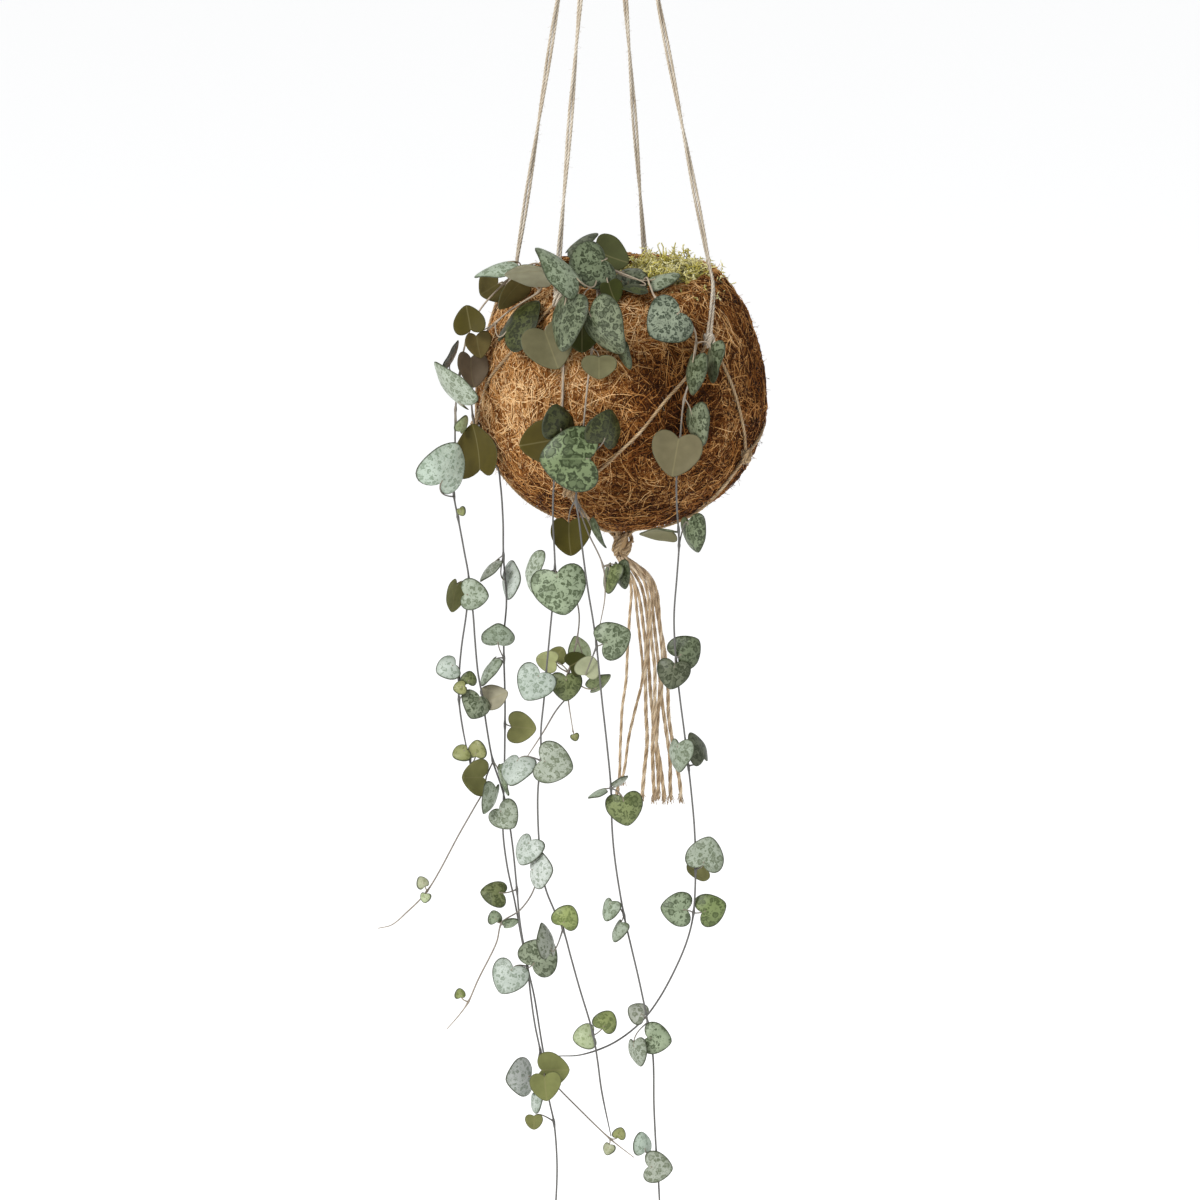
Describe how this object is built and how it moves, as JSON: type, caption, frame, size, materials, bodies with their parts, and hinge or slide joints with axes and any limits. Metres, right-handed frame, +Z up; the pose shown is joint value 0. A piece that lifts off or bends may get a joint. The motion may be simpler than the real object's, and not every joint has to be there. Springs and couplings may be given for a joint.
{
  "type": "hanging kokedama plant",
  "caption": "Hanging kokedama: a coir-wrapped soil ball with trailing heart-leaved vines, in a knotted jute cradle with a loop above and a tassel below.",
  "frame": {"origin": "the point inside the top of the hanging loop that bears on its hook", "axes": "+Z up along the hanger, +X to the right as seen from the leafy side, -Y out of the leafy side towards the viewer"},
  "size_m": [0.1552, 0.1366, 0.6383],
  "materials": {
    "twine": "rough twisted jute",
    "coir": "matted coconut fibre",
    "soil": "damp crumbly soil",
    "moss": "soft moss",
    "leaf": "waxy, marbled silver and green"
  },
  "bodies": {
    "root": {"hanging_loop": "twine", "top_knot": "twine", "shoulder_knot_1": "twine", "shoulder_knot_2": "twine", "shoulder_knot_3": "twine", "shoulder_knot_4": "twine", "lower_knot_left": "twine", "lower_knot_front": "twine", "lower_knot_right": "twine", "lower_knot_back": "twine", "bottom_knot": "twine", "hanger_cord_1": "twine", "hanger_cord_2": "twine", "hanger_cord_3": "twine", "hanger_cord_4": "twine", "net_strand_1": "twine", "net_strand_2": "twine", "net_strand_3": "twine", "net_strand_4": "twine", "net_strand_5": "twine", "net_strand_6": "twine", "net_strand_7": "twine", "net_strand_8": "twine", "bottom_cord_left": "twine", "bottom_cord_front": "twine", "bottom_cord_right": "twine", "bottom_cord_back": "twine", "tassel_strand_1": "twine", "tassel_strand_2": "twine", "tassel_strand_3": "twine", "tassel_strand_4": "twine", "tassel_strand_5": "twine", "tassel_strand_6": "twine", "tassel_strand_7": "twine", "tassel_strand_8": "twine", "coir_wrap": "coir", "soil_core": "soil", "moss_cushion": "moss", "vine_1_far_left": "leaf", "vine_2_left": "leaf", "vine_3_front_left": "leaf", "vine_4_front": "leaf", "vine_5_right": "leaf", "crown_leaves": "leaf"}
  },
  "joints": []
}
